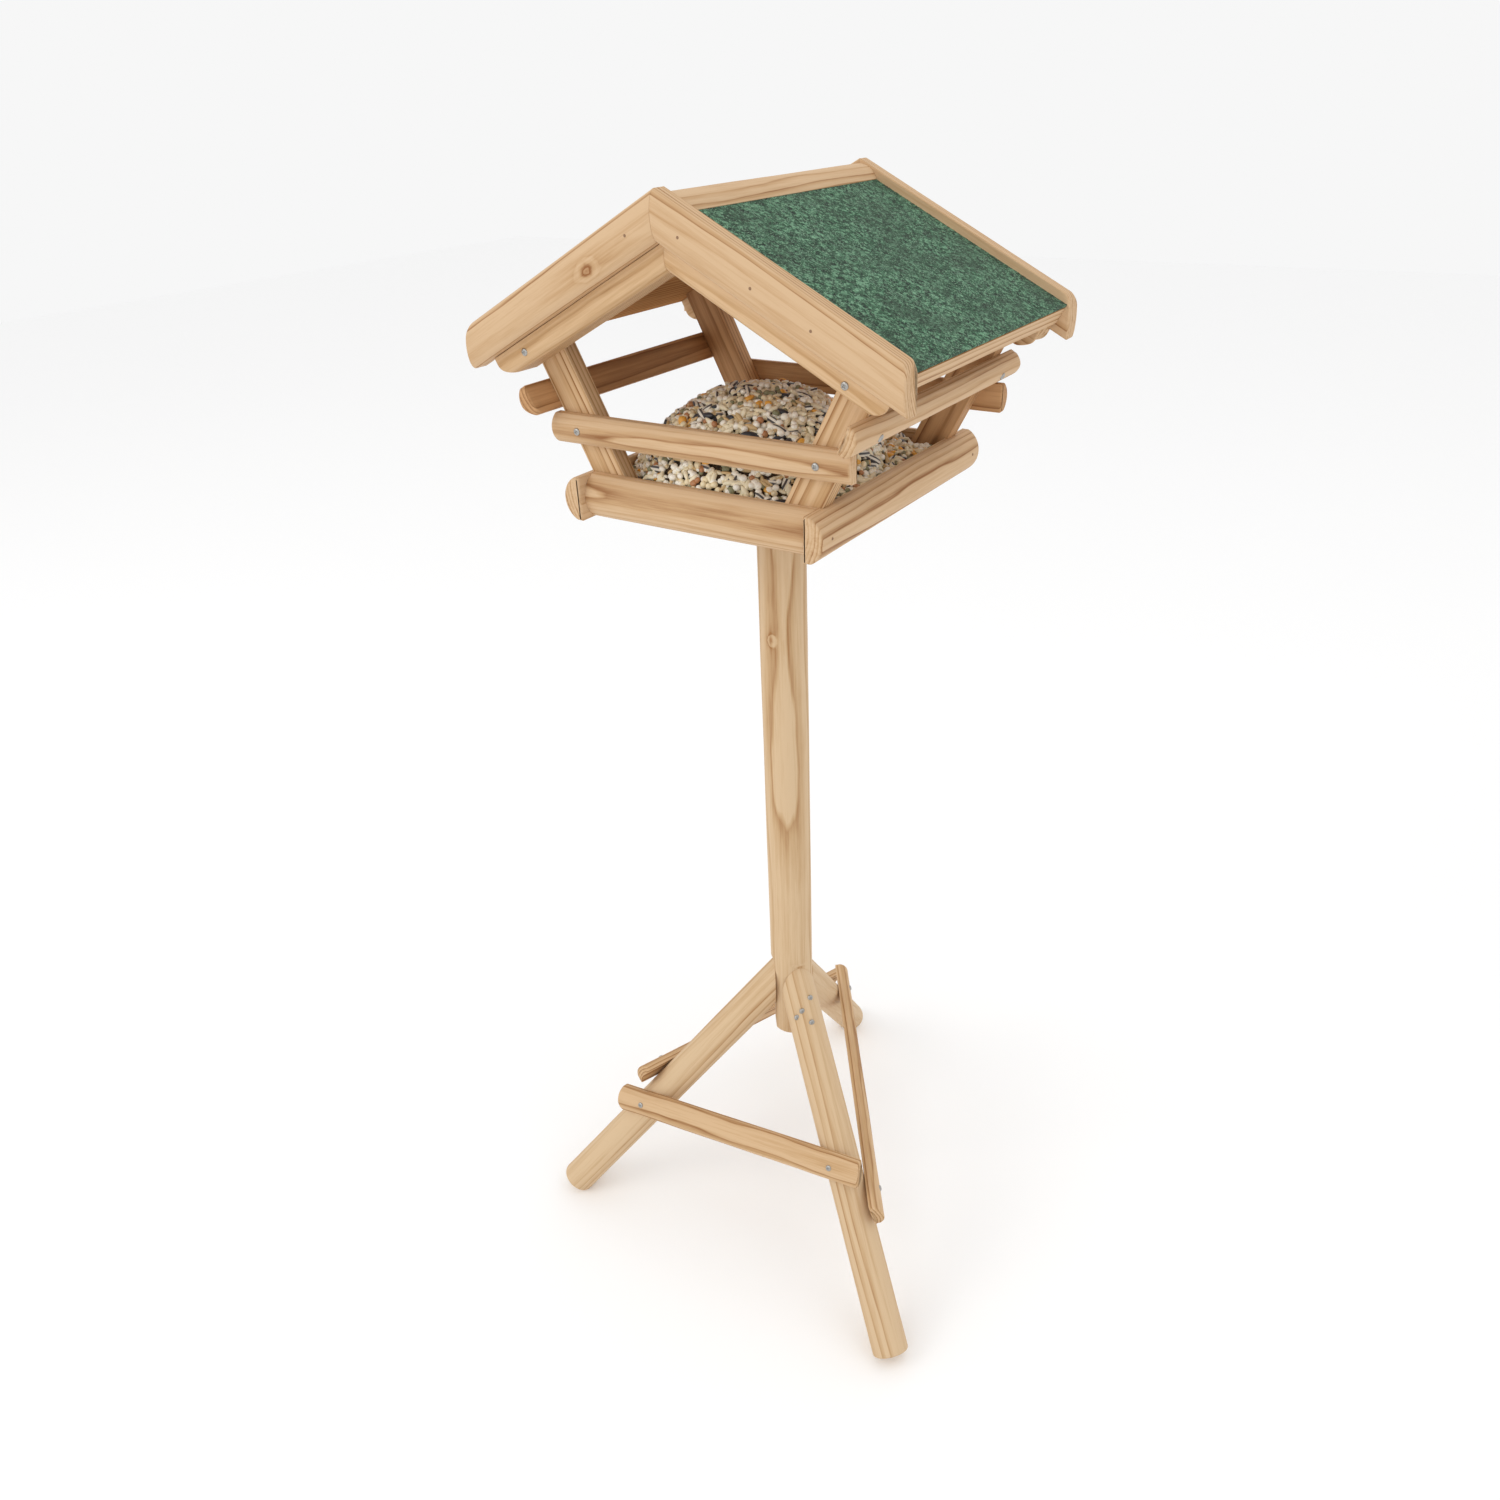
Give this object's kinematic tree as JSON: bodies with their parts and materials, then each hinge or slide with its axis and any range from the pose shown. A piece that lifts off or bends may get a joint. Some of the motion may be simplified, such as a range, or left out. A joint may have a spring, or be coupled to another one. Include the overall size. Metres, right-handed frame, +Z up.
{
  "type": "bird feeder on pole",
  "caption": "Gabled timber bird table with a green felt roof, filled with seed, on a round pole with three braced, splayed log legs.",
  "frame": {"origin": "on the ground, on the pole's axis, which is vertical", "axes": "+Z up the pole; the ridge runs along Y with the front gable facing -Y; +X towards the right-hand roof slope as seen from the front"},
  "size_m": [0.5264, 0.5171, 1.262],
  "materials": {
    "pine": "planed and lightly sanded softwood, bare",
    "felt": "bitumen roofing felt faced with green mineral chips, matt",
    "seed": "loose mixed bird seed, dry husks",
    "zinc": "zinc-plated screws and nails"
  },
  "bodies": {
    "root": {"felt_left": "felt", "felt_right": "felt", "roof_panel_left": "pine", "roof_panel_right": "pine", "ridge_batten": "pine", "barge_front_left": "pine", "barge_front_right": "pine", "barge_back_left": "pine", "barge_back_right": "pine", "rafter_front_left": "pine", "rafter_front_right": "pine", "rafter_back_left": "pine", "rafter_back_right": "pine", "post_front_left": "pine", "post_front_right": "pine", "post_back_left": "pine", "post_back_right": "pine", "rail_front": "pine", "rail_back": "pine", "rail_left": "pine", "rail_right": "pine", "floor_board": "pine", "border_front": "pine", "border_back": "pine", "border_left": "pine", "border_right": "pine", "seed_mix": "seed", "floor_batten_front": "pine", "floor_batten_back": "pine", "pole_plate": "pine", "pole": "pine", "leg_left": "pine", "leg_right": "pine", "leg_back": "pine", "brace_front": "pine", "brace_right": "pine", "brace_left": "pine", "barge_nails": "zinc", "ridge_nails": "zinc", "rafter_screws": "zinc", "rail_screws": "zinc", "border_nails": "zinc", "floor_screws": "zinc", "pole_screw": "zinc", "leg_screws": "zinc", "brace_screws": "zinc"}
  },
  "joints": []
}
